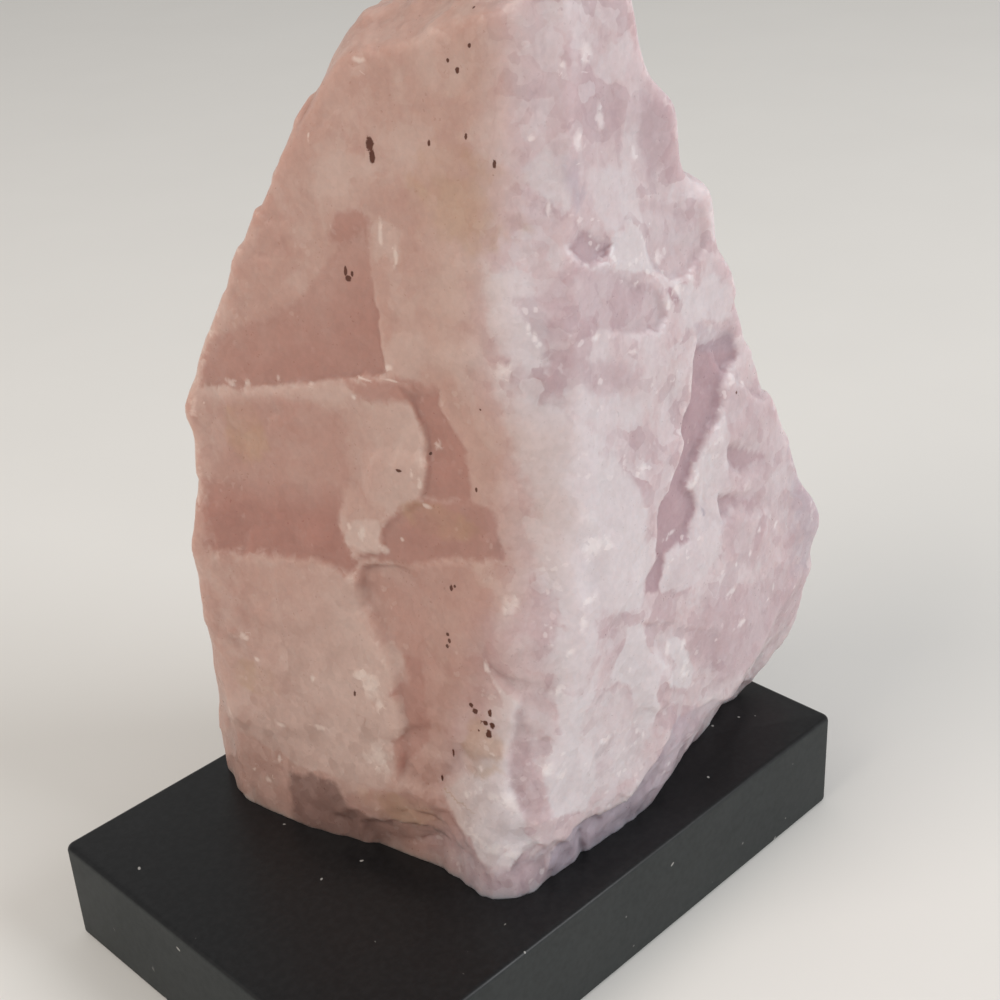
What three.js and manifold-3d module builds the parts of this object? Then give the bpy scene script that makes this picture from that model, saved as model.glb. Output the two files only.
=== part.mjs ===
// A rough lump of rose quartz standing on a polished black stone slab.
//
// The lump is one natural broken piece, sawn flat underneath, where it stands on the slab. Its form is
// worked out as it breaks: large fracture faces first, then scars where plates have flaked off them, then
// the small chips that cover all of it. Every depth is measured inwards along the ray that runs to a
// point in its middle, so the surface can't fold over itself.
//
// Millimetres, +Z up. The origin is the middle of the slab's underside. X runs along the slab.

import * as THREE from "three";
import { mergeVertices } from "three/addons/utils/BufferGeometryUtils.js";
import Module from "manifold-3d";

// The slab: 6 x 4 x 1 inches. arris is how far its edges are eased, corner how far its upright ones are.
const INCH = 25.4;
const SLAB = { length: 6 * INCH, depth: 4 * INCH, height: INCH, arris: 1.2, corner: 2 };

// The lump stands on a thin film of glue, and its sawn foot is flat. SAWN_OFF is how far the stone went on
// below the cut.
const GLUE_FILM = 0.3;
const FOOT_Z = SLAB.height + GLUE_FILM;
const SAWN_OFF = 14;

// The middle of the lump, from which its faces are measured.
const HEART = new THREE.Vector3(18, -2, 105);

// The mesh is spread round the heart like the squares on the six sides of a tapering block of about the
// lump's size, then shaken a little so that no rows show.
const BLOCK = { x: 108, y: 92, z: 190, topScale: 0.5 };
const SQUARE = 4.4;
const SHAKE = 0.3;

// The large fracture faces. bearing is the way a face looks, in degrees from +X towards +Y, lean is how
// far it leans back from upright (an overhang is negative), and at is a point on it.
const FACES = [
  { name: "west wall", bearing: 192, lean: 7.5, at: [-39.2, 31.5, FOOT_Z] },
  { name: "north-west edge", bearing: 158, lean: 1, at: [-37.8, 36, 40] },
  { name: "prow", bearing: 229, lean: 7, at: [-8.5, -40, 98] },
  { name: "prow foot", bearing: 227, lean: 0, at: [-23, -35, FOOT_Z] },
  { name: "south wall", bearing: 272, lean: 4.5, at: [0, -44, 98] },
  { name: "south foot", bearing: 268, lean: -4, at: [0, -41, FOOT_Z] },
  { name: "south flank", bearing: 281, lean: 3, at: [70, -39, 84] },
  { name: "south-east foot", bearing: 286, lean: -21, at: [54, -33, FOOT_Z] },
  { name: "east lip", bearing: 355, lean: -60, at: [67, -26, FOOT_Z] },
  { name: "east bulge", bearing: 345, lean: -3, at: [86, -35, 55] },
  { name: "east wall", bearing: 352, lean: 26.5, at: [82, -36, 78] },
  { name: "east brow", bearing: 344, lean: 26, at: [38.5, -35, 178] },
  { name: "north-east wall", bearing: 40, lean: 10, at: [52, 30, 60] },
  { name: "north-east foot", bearing: 55, lean: -22, at: [38, 30, FOOT_Z] },
  { name: "north wall", bearing: 93, lean: 1, at: [0, 47, 70] },
  { name: "north slope", bearing: 103, lean: 26.5, at: [-28, 46.5, 122] },
  { name: "crown", bearing: 100, lean: 72, at: [8, -26, 213] },
  { name: "north-west brow", bearing: 136, lean: 33.5, at: [-15.6, 23.6, 172.4] },
  { name: "crown west", bearing: 168, lean: 56, at: [-4, -2, 200] },
  { name: "crown east", bearing: 335, lean: 55, at: [21, -30, 214.5] },
  { name: "underside", bearing: 0, lean: -90, at: [0, 0, FOOT_Z - SAWN_OFF] },
];

// How gently the large faces run into one another.
const FACE_BLEND = 0.9;

// Where plates have flaked off the faces. outline and the line from a scar's deepest place to where it
// has run out to nothing are pairs: bearing round the heart in degrees, and height in mm.
const SCARS = [
  {
    name: "valley beside the west plate",
    depth: 3.2,
    deepest: [188, 66],
    runOut: [215, 72],
    outline: [
      [174, 91], [193, 95], [213, 99], [218, 84], [214, 62], [203, 44], [182, 41],
      [188, 46], [186, 54], [192, 58], [187, 67], [190, 73], [181, 77], [175, 86],
    ],
  },
  {
    name: "west hollow, back half",
    depth: 3,
    deepest: [160, 91],
    runOut: [158, 112],
    outline: [[144, 106], [166, 112], [170, 101], [173, 91], [166, 91], [153, 90], [143, 88]],
  },
  {
    name: "west hollow, front half",
    depth: 2.8,
    deepest: [200, 97],
    runOut: [212, 118],
    outline: [
      [179, 95], [184, 104], [190, 109], [200, 111], [205, 117], [215, 116], [218, 112],
      [228, 104], [211, 98], [193, 95],
    ],
  },
  {
    name: "strip beside the middle plate",
    depth: 2.4,
    deepest: [197, 122],
    runOut: [220, 122],
    outline: [
      [189, 133], [192, 130], [200, 124], [200, 119], [197, 113], [201, 109], [216, 112],
      [216, 127], [206, 135],
    ],
  },
  {
    name: "west brow",
    depth: 2,
    deepest: [180, 133],
    runOut: [160, 162],
    outline: [
      [128, 124], [154, 129], [186, 132], [186, 137], [180, 146], [177, 157], [174, 169],
      [164, 167], [152, 155], [138, 147], [128, 135],
    ],
  },
  {
    name: "west foot notch, outer step",
    depth: 3.5,
    deepest: [204, FOOT_Z],
    runOut: [195, 46],
    outline: [[164, 32], [173, 38], [190, 43], [206, 42], [213, 34], [214, 10], [168, 10]],
  },
  {
    name: "west foot notch, middle step",
    depth: 3,
    deepest: [202, FOOT_Z],
    runOut: [193, 43],
    outline: [[170, 30], [180, 36], [194, 39], [204, 37], [209, 31], [209, 10], [173, 10]],
  },
  {
    name: "west foot notch, inner step",
    depth: 3,
    deepest: [200, FOOT_Z],
    runOut: [192, 40],
    outline: [[178, 29], [188, 33], [198, 33], [204, 29], [204, 10], [180, 10]],
  },
  {
    name: "prow chip",
    depth: 2,
    deepest: [224, 62],
    runOut: [240, 66],
    outline: [[219, 80], [226, 74], [223, 61], [222, 51], [226, 46], [236, 44], [241, 56], [236, 76]],
  },
  {
    name: "prow tip, south chip",
    depth: 3.5,
    deepest: [232, 20],
    runOut: [236, 38],
    outline: [[226, 32], [232, 37], [243, 34], [243, 8], [230, 8]],
  },
  {
    name: "groove down the south side",
    depth: 5,
    deepest: [287, 112],
    runOut: [262, 78],
    outline: [
      [295, 138], [292, 126], [290, 120], [285, 112], [276, 105], [271, 101], [265, 88],
      [273, 83], [277, 92], [288, 93], [292, 98], [289, 104], [296, 110], [303, 117], [314, 130],
    ],
  },
  {
    name: "south pit",
    depth: 3.6,
    deepest: [257, 165],
    runOut: [252, 150],
    outline: [[245, 164], [251, 167], [264, 163], [261, 158], [252, 157]],
  },
  {
    name: "scar under the pit",
    depth: 2.2,
    deepest: [280, 143],
    runOut: [242, 156],
    outline: [[248, 156], [261, 155], [277, 151], [284, 144], [283, 140], [263, 142], [251, 146]],
  },
  {
    name: "scar on the south shoulder",
    depth: 2.6,
    deepest: [298, 149],
    runOut: [276, 172],
    outline: [[276, 167], [292, 168], [306, 160], [303, 149], [296, 145], [281, 150], [275, 158]],
  },
  {
    name: "flank scar, upper",
    depth: 2,
    deepest: [308, 98],
    runOut: [322, 106],
    outline: [[305, 109], [317, 105], [325, 97], [323, 92], [310, 97], [304, 103]],
  },
  {
    name: "flank scar, lower",
    depth: 2.2,
    deepest: [304, 92],
    runOut: [326, 96],
    outline: [[301, 101], [312, 97], [324, 89], [321, 82], [305, 90], [300, 95]],
  },
  {
    name: "chip over the flank",
    depth: 1.4,
    deepest: [316, 126],
    runOut: [296, 126],
    outline: [[304, 134], [312, 139], [334, 137], [336, 113], [319, 112], [310, 120]],
  },
  {
    name: "ledge over the south foot",
    depth: 3.4,
    deepest: [272, FOOT_Z],
    runOut: [268, 46],
    outline: [
      [240, 35], [249, 32], [262, 32], [270, 36], [279, 41], [290, 43], [302, 43],
      [330, 30], [330, 8], [244, 8],
    ],
  },
  {
    name: "beside the south wedge",
    depth: 1.8,
    deepest: [283, 58],
    runOut: [304, 66],
    outline: [[264, 80], [278, 74], [296, 66], [296, 48], [280, 44], [278, 60]],
  },
  {
    name: "east scoop",
    depth: 3.5,
    deepest: [350, 112],
    runOut: [372, 150],
    outline: [[328, 118], [338, 146], [372, 152], [390, 126], [372, 100], [346, 98]],
  },
  {
    name: "north-east plate",
    depth: 3,
    deepest: [398, 70],
    runOut: [430, 100],
    outline: [[385, 48], [396, 96], [420, 112], [440, 92], [432, 54], [404, 40]],
  },
  {
    name: "north scoop",
    depth: 3.5,
    deepest: [100, 72],
    runOut: [84, 124],
    outline: [[78, 78], [82, 122], [104, 132], [126, 112], [124, 76], [100, 64]],
  },
  {
    name: "north foot notch",
    depth: 5,
    deepest: [84, FOOT_Z],
    runOut: [92, 50],
    outline: [[62, 10], [66, 38], [88, 48], [108, 40], [112, 10]],
  },
  {
    name: "north slope scar",
    depth: 3,
    deepest: [84, 150],
    runOut: [110, 190],
    outline: [[62, 150], [70, 184], [104, 192], [120, 168], [112, 146]],
  },
];
const SCAR_RAMP = 1.4;

// Bosses that stand proud of the faces.
const BOSSES = [
  { name: "east lobe", at: [84, -33, 40], height: 3.4, width: 18 },
  { name: "east corner", at: [84, -35, 74], height: 3.4, width: 14 },
  { name: "east step", at: [50, -37, 144], height: 1.2, width: 8 },
  { name: "east brow, lower knob", at: [42, -34, 161], height: 3.8, width: 12 },
  { name: "east brow, upper knob", at: [32, -34, 179], height: 4.6, width: 11 },
  { name: "crown knob", at: [20, -36, 201], height: 4.4, width: 13 },
  { name: "west nub", at: [-29, 45, 119], height: 1.8, width: 7 },
  { name: "north-west swell", at: [-29, 45, 84], height: 1.6, width: 20 },
  { name: "west hollow lump", at: [-26, 12, 97], height: 1.4, width: 7 },
  { name: "prow tip", at: [-23, -35, FOOT_Z], height: 1.4, width: 9 },
];

// Chips that cover the whole lump, each a flat step set at its own tilt. Half of them stand proud.
const CHIPS = [
  { size: 21, depth: 2.3 },
  { size: 10, depth: 0.8 },
];

// How far the edges of scars and chips wander from straight.
const JAG = { size: 7, swing: 3.2 };

const radians = THREE.MathUtils.degToRad;

// A face's outward normal, and its distance from the heart.
function facePlane({ bearing, lean, at }) {
  const b = radians(bearing);
  const l = radians(lean);
  const normal = new THREE.Vector3(Math.cos(b) * Math.cos(l), Math.sin(b) * Math.cos(l), Math.sin(l));
  return { normal, distance: normal.dot(new THREE.Vector3(...at).sub(HEART)) };
}
const PLANES = FACES.map(facePlane);

// How far the large faces lie from the heart in a direction.
function faceReach(direction) {
  const reaches = [];
  for (const { normal, distance } of PLANES) {
    const towards = normal.dot(direction);
    if (towards > 0.02) {
      reaches.push(distance / towards);
    }
  }
  const nearest = Math.min(...reaches);
  const crowd = reaches.reduce((sum, r) => sum + Math.exp((nearest - r) / FACE_BLEND), 0);
  return nearest - FACE_BLEND * Math.log(crowd);
}

// A repeatable random number between 0 and 1 for a lattice point.
function chance(x, y, z, salt) {
  const s = Math.sin(x * 127.1 + y * 311.7 + z * 74.7 + salt * 53.3) * 43758.5453;
  return s - Math.floor(s);
}

const ease = (t) => t * t * (3 - 2 * t);
const clamp01 = (t) => Math.min(Math.max(t, 0), 1);

// Smooth noise between -1 and 1.
function noise(x, y, z, salt) {
  const ix = Math.floor(x);
  const iy = Math.floor(y);
  const iz = Math.floor(z);
  const fx = ease(x - ix);
  const fy = ease(y - iy);
  const fz = ease(z - iz);
  let sum = 0;
  for (let corner = 0; corner < 8; corner++) {
    const dx = corner & 1;
    const dy = (corner >> 1) & 1;
    const dz = corner >> 2;
    const weight = (dx ? fx : 1 - fx) * (dy ? fy : 1 - fy) * (dz ? fz : 1 - fz);
    sum += weight * chance(ix + dx, iy + dy, iz + dz, salt);
  }
  return 2 * sum - 1;
}

// The point moved a little, so that straight borders drawn through it come out jagged.
function jagged(point) {
  const q = point.clone().divideScalar(JAG.size);
  const half = JAG.swing / 2;
  return new THREE.Vector3(
    point.x + half * noise(q.x, q.y, q.z, 1),
    point.y + half * noise(q.x, q.y, q.z, 2),
    point.z + half * noise(q.x, q.y, q.z, 3),
  );
}

// One layer of chips: the nearest of a set of scattered points says how deep and how tilted the step is.
function chipDepth(point, { size, depth }, salt) {
  const q = point.clone().divideScalar(size);
  const ix = Math.floor(q.x);
  const iy = Math.floor(q.y);
  const iz = Math.floor(q.z);
  let nearest = Infinity;
  let step = 0;
  for (let x = ix - 1; x <= ix + 1; x++) {
    for (let y = iy - 1; y <= iy + 1; y++) {
      for (let z = iz - 1; z <= iz + 1; z++) {
        const dx = q.x - x - chance(x, y, z, salt);
        const dy = q.y - y - chance(x, y, z, salt + 1);
        const dz = q.z - z - chance(x, y, z, salt + 2);
        const apart = dx * dx + dy * dy + dz * dz;
        if (apart < nearest) {
          nearest = apart;
          const tiltX = chance(x, y, z, salt + 4) - 0.5;
          const tiltY = chance(x, y, z, salt + 5) - 0.5;
          const tiltZ = chance(x, y, z, salt + 6) - 0.5;
          step = 0.5 * chance(x, y, z, salt + 3) + dx * tiltX + dy * tiltY + dz * tiltZ;
        }
      }
    }
  }
  return depth * (clamp01(step + 0.25) - 0.5);
}

// Bearings are turned into millimetres round the lump at about the distance its walls stand off.
const WALL_DISTANCE = 48;
const alongWall = ([bearing, z]) => new THREE.Vector2(radians(bearing) * WALL_DISTANCE, z);
const FULL_TURN = 2 * Math.PI * WALL_DISTANCE;

// How far inside a closed outline a point lies: negative outside it.
function insetFrom(outline, point) {
  let nearest = Infinity;
  let inside = false;
  outline.forEach((a, i) => {
    const b = outline[(i + 1) % outline.length];
    const edge = b.clone().sub(a);
    const fromA = point.clone().sub(a);
    const t = clamp01(fromA.dot(edge) / edge.lengthSq());
    nearest = Math.min(nearest, fromA.sub(edge.clone().multiplyScalar(t)).length());
    if (a.y > point.y !== b.y > point.y) {
      const crossing = a.x + ((point.y - a.y) / (b.y - a.y)) * (b.x - a.x);
      if (point.x < crossing) {
        inside = !inside;
      }
    }
  });
  return inside ? nearest : -nearest;
}

const SCAR_SHAPES = SCARS.map(({ depth, deepest, runOut, outline }) => ({
  depth,
  deepest: alongWall(deepest),
  fall: alongWall(runOut).sub(alongWall(deepest)),
  outline: outline.map(alongWall),
}));

function scarDepth(point) {
  const bearing = Math.atan2(point.y - HEART.y, point.x - HEART.x);
  let total = 0;
  for (const { depth, deepest, fall, outline } of SCAR_SHAPES) {
    for (const turn of [0, 1]) {
      const here = new THREE.Vector2(bearing * WALL_DISTANCE + turn * FULL_TURN, point.z);
      const inset = insetFrom(outline, here);
      if (inset > -SCAR_RAMP) {
        const faded = 1 - clamp01(here.clone().sub(deepest).dot(fall) / fall.lengthSq());
        total += depth * faded * ease(clamp01(0.5 + inset / SCAR_RAMP));
      }
    }
  }
  return total;
}

function bossHeight(point) {
  let total = 0;
  for (const { at, height, width } of BOSSES) {
    const apart = point.distanceTo(new THREE.Vector3(...at));
    total += height * ease(clamp01(1 - apart / width));
  }
  return total;
}

// The lump's surface in a direction from its heart.
function surfacePoint(direction) {
  const reach = faceReach(direction);
  const onFace = direction.clone().multiplyScalar(reach).add(HEART);
  const wandered = jagged(onFace);
  let depth = scarDepth(wandered) - bossHeight(onFace);
  CHIPS.forEach((layer, i) => {
    depth += chipDepth(wandered, layer, 10 * (i + 1));
  });
  return direction.clone().multiplyScalar(reach - depth).add(HEART);
}

function lumpGeometry() {
  const squares = (size) => Math.round(size / SQUARE);
  const block = new THREE.BoxGeometry(
    BLOCK.x,
    BLOCK.y,
    BLOCK.z,
    squares(BLOCK.x),
    squares(BLOCK.y),
    squares(BLOCK.z),
  );
  block.deleteAttribute("normal");
  block.deleteAttribute("uv");
  const lump = mergeVertices(block, 1e-3);
  const place = lump.getAttribute("position");
  const direction = new THREE.Vector3();
  for (let i = 0; i < place.count; i++) {
    const z = place.getZ(i);
    const taper = THREE.MathUtils.mapLinear(z, -BLOCK.z / 2, BLOCK.z / 2, 1, BLOCK.topScale);
    direction.set(
      taper * place.getX(i) + SQUARE * SHAKE * (chance(i, 0, 0, 90) - 0.5),
      taper * place.getY(i) + SQUARE * SHAKE * (chance(i, 0, 0, 91) - 0.5),
      z + SQUARE * SHAKE * (chance(i, 0, 0, 92) - 0.5),
    );
    place.setXYZ(i, ...surfacePoint(direction.normalize()));
  }
  return lump;
}

const wasm = await Module();
wasm.setup();

function toSolid(geometry) {
  const merged = mergeVertices(geometry, 1e-4);
  return new wasm.Manifold(
    new wasm.Mesh({
      numProp: 3,
      vertProperties: merged.getAttribute("position").array,
      triVerts: new Uint32Array(merged.index.array),
    }),
  );
}

function toGeometry(solid) {
  const mesh = solid.getMesh();
  const geometry = new THREE.BufferGeometry();
  geometry.setAttribute("position", new THREE.BufferAttribute(mesh.vertProperties, 3));
  geometry.setIndex(new THREE.BufferAttribute(mesh.triVerts, 1));
  return geometry;
}

// Everything under the foot's level, to saw the lump off flat.
function sawnAway() {
  const size = 400;
  const box = new THREE.BoxGeometry(size, size, size);
  box.deleteAttribute("normal");
  box.deleteAttribute("uv");
  box.translate(0, 0, FOOT_Z - size / 2);
  return toSolid(box);
}

function stoneMesh() {
  const sawn = toSolid(lumpGeometry()).subtract(sawnAway());
  const material = new THREE.MeshStandardMaterial({ color: 0xd9b3ad, roughness: 0.45, metalness: 0 });
  const mesh = new THREE.Mesh(toGeometry(sawn), material);
  mesh.name = "rose_quartz";
  return mesh;
}

function slabMesh() {
  const { length, depth, height, arris, corner } = SLAB;
  const x = length / 2 - corner;
  const y = depth / 2 - corner;
  const quarter = Math.PI / 2;
  const outline = new THREE.Shape();
  [[x, y], [-x, y], [-x, -y], [x, -y]].forEach(([cx, cy], i) => {
    outline.absarc(cx, cy, corner - arris, i * quarter, (i + 1) * quarter);
  });
  const geometry = new THREE.ExtrudeGeometry(outline, {
    depth: height - 2 * arris,
    curveSegments: 1,
    bevelEnabled: true,
    bevelThickness: arris,
    bevelSize: arris,
    bevelSegments: 1,
  });
  geometry.translate(0, 0, arris);
  const material = new THREE.MeshStandardMaterial({ color: 0x16171a, roughness: 0.12, metalness: 0 });
  const mesh = new THREE.Mesh(geometry, material);
  mesh.name = "slab";
  return mesh;
}

const specimen = new THREE.Group();
specimen.add(slabMesh(), stoneMesh());

export default specimen;
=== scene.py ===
"""A rough lump of rose quartz on a polished black slab, finished for rendering."""
import itertools
import math

import bmesh
import bpy
import numpy as np
from mathutils import Matrix, Vector


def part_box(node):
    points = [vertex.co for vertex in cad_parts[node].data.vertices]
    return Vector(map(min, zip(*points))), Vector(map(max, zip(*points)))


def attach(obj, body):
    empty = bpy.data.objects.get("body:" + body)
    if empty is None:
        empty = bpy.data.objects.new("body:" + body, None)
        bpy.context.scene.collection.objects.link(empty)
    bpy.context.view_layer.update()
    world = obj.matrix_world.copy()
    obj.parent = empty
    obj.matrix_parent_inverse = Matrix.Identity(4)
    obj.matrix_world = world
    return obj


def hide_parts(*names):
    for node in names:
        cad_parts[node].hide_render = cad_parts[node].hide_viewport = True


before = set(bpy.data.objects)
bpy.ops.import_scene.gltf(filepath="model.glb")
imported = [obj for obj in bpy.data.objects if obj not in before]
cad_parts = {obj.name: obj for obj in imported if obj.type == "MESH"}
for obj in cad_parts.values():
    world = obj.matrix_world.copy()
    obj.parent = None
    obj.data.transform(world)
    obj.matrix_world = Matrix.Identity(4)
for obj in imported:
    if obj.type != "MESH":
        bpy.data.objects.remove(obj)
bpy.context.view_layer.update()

MM = 0.001

# ------------------------------------------------------------
# The lump. It is worked out as the solid is, in millimetres, then carried further into small chips.
# ------------------------------------------------------------

SLAB_TOP = 25.4
SLAB_ARRIS = 1.2
SLAB_CORNER = 2.2
FOOT_Z = SLAB_TOP + 0.3

# The lump is drawn on past its foot and sawn off flat. Points this near the cut count as on it.
SAWN_OFF = 14
SAWN_Z = SLAB_TOP + 0.03
SAWN_NEAR = 0.05

# The block round the heart, whose squares are sent out along their rays to the lump's surface.
HEART = np.array([18.0, -2.0, 105.0])
BLOCK = (108.0, 92.0, 190.0)
BLOCK_TOP_SCALE = 0.5
SQUARE = 1.0
SHAKE = 0.2

# The large fracture faces: bearing, lean, a point on each.
FACES = (
    (192, 7.5, (-39.2, 31.5, FOOT_Z)),  # west wall
    (158, 1, (-37.8, 36, 40)),  # north-west edge
    (229, 7, (-8.5, -40, 98)),  # prow
    (227, 0, (-23, -35, FOOT_Z)),  # prow foot
    (272, 4.5, (0, -44, 98)),  # south wall
    (268, -4, (0, -41, FOOT_Z)),  # south foot
    (281, 3, (70, -39, 84)),  # south flank
    (286, -21, (54, -33, FOOT_Z)),  # south-east foot
    (355, -60, (67, -26, FOOT_Z)),  # east lip
    (345, -3, (86, -35, 55)),  # east bulge
    (352, 26.5, (82, -36, 78)),  # east wall
    (344, 26, (38.5, -35, 178)),  # east brow
    (40, 10, (52, 30, 60)),  # north-east wall
    (55, -22, (38, 30, FOOT_Z)),  # north-east foot
    (93, 1, (0, 47, 70)),  # north wall
    (103, 26.5, (-28, 46.5, 122)),  # north slope
    (100, 72, (8, -26, 213)),  # crown
    (136, 33.5, (-15.6, 23.6, 172.4)),  # north-west brow
    (168, 56, (-4, -2, 200)),  # crown west
    (335, 55, (21, -30, 214.5)),  # crown east
    (0, -90, (0, 0, FOOT_Z - SAWN_OFF)),  # underside
)
FACE_BLEND = 0.9
LEAST_FACING = 0.02

# Outlines on the lump's side, in bearing and height, for its scars and its patches of colour.
OUTLINES = {
    "groove": (
        (296, 133), (294, 129), (292, 122), (287, 117), (285, 112), (278, 106), (273, 104), (272, 97),
        (271, 92), (265, 89), (265, 86), (271, 85), (275, 92), (286, 92), (289, 95), (292, 97),
        (292, 100), (287, 104), (294, 110), (302, 115), (305, 122), (313, 126), (311, 132)),
    "pit": ((246, 164), (250, 167), (256, 164), (262, 162), (259, 159), (252, 159), (249, 161)),
    "under the pit": (
        (229, 154), (238, 155), (241, 158), (247, 160), (261, 156), (277, 150), (281, 147), (283, 142),
        (278, 140), (263, 143), (254, 146), (247, 146), (237, 145), (232, 150)),
    "shoulder": (
        (275, 167), (288, 165), (299, 160), (303, 153), (295, 149), (286, 149), (281, 152), (277, 157),
        (276, 162)),
    "flank, upper": (
        (305, 108), (316, 103), (321, 100), (322, 95), (311, 98), (308, 100), (305, 104)),
    "flank, lower": (
        (301, 97), (307, 95), (315, 91), (321, 86), (315, 86), (306, 91), (305, 90), (302, 91)),
    "valley": (
        (177, 93), (175, 91), (176, 88), (177, 84), (184, 77), (191, 75), (191, 70), (188, 67),
        (192, 64), (193, 58), (188, 55), (190, 46), (201, 45), (210, 52), (217, 68), (221, 82),
        (221, 95), (215, 101), (195, 97)),
    "hollow, back": (
        (140, 87), (147, 89), (161, 92), (168, 92), (174, 91), (177, 93), (172, 97), (169, 101),
        (169, 109), (166, 111), (152, 110), (138, 103)),
    "hollow, front": (
        (175, 94), (177, 96), (184, 97), (185, 103), (191, 108), (202, 112), (217, 114), (222, 113),
        (224, 103), (211, 101), (195, 97), (182, 95)),
    "strip": (
        (191, 133), (205, 135), (206, 131), (213, 126), (216, 120), (216, 114), (202, 112), (199, 112),
        (201, 118), (201, 123), (198, 128), (194, 131)),
    "brow": (
        (136, 131), (139, 137), (155, 147), (168, 162), (177, 166), (177, 159), (180, 152), (183, 144),
        (185, 136), (168, 133), (136, 124)),
}

# Flaked scars: depth, deepest place, where it runs out, outline.
SCARS = (
    # valley, with a plainer edge than its colour has
    (2.1, (188, 66), (215, 72), ((177, 93), (176, 88), (177, 84), (186, 76), (190, 68), (192, 58),
     (191, 46), (201, 45), (210, 52), (217, 68), (221, 82), (221, 95), (215, 101), (195, 97))),
    (0.8, (160, 91), (158, 112), OUTLINES["hollow, back"]),
    (0.9, (200, 97), (212, 118), OUTLINES["hollow, front"]),
    (1.1, (197, 122), (220, 122), OUTLINES["strip"]),
    (1.2, (180, 133), (160, 162), OUTLINES["brow"]),
    # west foot notch, in three steps
    (3.5, (204, FOOT_Z), (195, 46), ((164, 32), (173, 38), (190, 43), (206, 42), (213, 34), (214, 10),
     (168, 10))),
    (3, (202, FOOT_Z), (193, 43), ((170, 30), (180, 36), (194, 39), (204, 37), (209, 31), (209, 10),
     (173, 10))),
    (3, (200, FOOT_Z), (192, 40), ((178, 29), (188, 33), (198, 33), (204, 29), (204, 10), (180, 10))),
    # prow chip
    (1.3, (224, 62), (240, 66), ((219, 80), (226, 74), (223, 61), (222, 51), (226, 46), (236, 44),
     (241, 56), (236, 76))),
    # prow tip, south chip
    (3.5, (232, 20), (236, 38), ((226, 32), (232, 37), (243, 34), (243, 8), (230, 8))),
    (2.1, (287, 112), (262, 78), OUTLINES["groove"]),
    (2.4, (257, 165), (252, 150), OUTLINES["pit"]),
    (1.5, (280, 143), (242, 156), OUTLINES["under the pit"]),
    (1.8, (298, 149), (276, 172), OUTLINES["shoulder"]),
    (1.4, (308, 98), (322, 106), OUTLINES["flank, upper"]),
    (1.4, (304, 92), (326, 96), OUTLINES["flank, lower"]),
    # chip over the flank
    (1.4, (316, 126), (296, 126), ((304, 134), (312, 139), (334, 137), (336, 113), (319, 112),
     (310, 120))),
    # ledge over the south foot
    (3.4, (272, FOOT_Z), (268, 46), ((238, 36), (252, 34), (259, 34), (266, 38), (273, 40), (280, 46),
     (293, 47), (302, 44), (330, 30), (330, 8), (244, 8))),
    # beside the south wedge
    (1, (283, 58), (304, 66), ((264, 80), (278, 74), (296, 66), (296, 48), (280, 44), (278, 60))),
    # east scoop
    (3.5, (350, 112), (372, 150), ((328, 118), (338, 146), (372, 152), (390, 126), (372, 100),
     (346, 98))),
    # north-east plate
    (3, (398, 70), (430, 100), ((385, 48), (396, 96), (420, 112), (440, 92), (432, 54), (404, 40))),
    # north scoop
    (3.5, (100, 72), (84, 124), ((78, 78), (82, 122), (104, 132), (126, 112), (124, 76),
     (100, 64))),
    # north foot notch
    (5, (84, FOOT_Z), (92, 50), ((62, 10), (66, 38), (88, 48), (108, 40), (112, 10))),
    # north slope scar
    (3, (84, 150), (110, 190), ((62, 150), (70, 184), (104, 192), (120, 168), (112, 146))),
)
# How wide the slope at a scar's edge is.
SCAR_RAMP = 1.5
RAMP_PER_DEPTH = 0.4

# Bosses: place, height, width.
BOSSES = (
    ((84, -33, 40), 3.4, 18),  # east lobe
    ((84, -35, 74), 3.4, 14),  # east corner
    ((50, -37, 144), 1.2, 8),  # east step
    ((42, -34, 161), 3.8, 12),  # east brow, lower knob
    ((32, -34, 179), 4.6, 11),  # east brow, upper knob
    ((20, -36, 201), 4.4, 13),  # crown knob
    ((-29, 45, 119), 1.8, 7),  # west nub
    ((-29, 45, 84), 1.6, 20),  # north-west swell
    ((-26, 12, 97), 1.4, 7),  # west hollow lump
    ((-23, -35, FOOT_Z), 1.4, 9),  # prow tip
)

# Layers of chips: size, depth, and how far a step takes to run out.
COARSE_CHIPS = ((21, 2.3, 3.6), (10, 0.7, 2.2))
FINE_CHIPS = ((4.4, 0.55, 1.2), (2.3, 0.26, 0.9))
FOOT_CHIPS = (7.5, 2.2, 0.9)
FOOT_CHIPS_UP_TO = 46
FOOT_CHIPS_FADE = 14
FOOT_CHIPS_LESS_WHERE_WARM = 0.75
# The same chips, less deep, along the upright corner at the back of the west wall.
CORNER_BEARING = 144
CORNER_HALF_WIDTH = 18
CORNER_SHARE = 0.6
# How far outlines and chips wander: size, swing.
JAG = (7.0, 3.2)
FINE_JAG = (2.2, 0.9)
# The repeatable random numbers, and where those of each use start.
LATTICE_STEPS = (127.1, 311.7, 74.7, 53.3)
LATTICE_GROWTH = 43758.5453
JAG_SALT = 0
CHIP_SALTS = (10.0, 20.0)
FINE_JAG_SALT = 20
FINE_CHIP_SALTS = (30.0, 40.0)
WARM_SALTS = (41, 45)
FOOT_CHIP_SALT = 50
ROUGH_SALT = 61
SHAKE_SALTS = (90, 91, 92)

# Rounds of evening out, against which the points that stand proud are found.
EDGE_ROUNDS = 6

# Places on the lump's side are unrolled onto a wall at this distance from the heart.
WALL_DISTANCE = 48.0
FULL_TURN = 2 * math.pi * WALL_DISTANCE
# A scar or patch runs out no further than this from its deepest place.
FADE_REACH = 80


def ease(t):
    """A smooth step from 0 to 1."""
    t = np.clip(t, 0, 1)
    return t * t * (3 - 2 * t)


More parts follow.
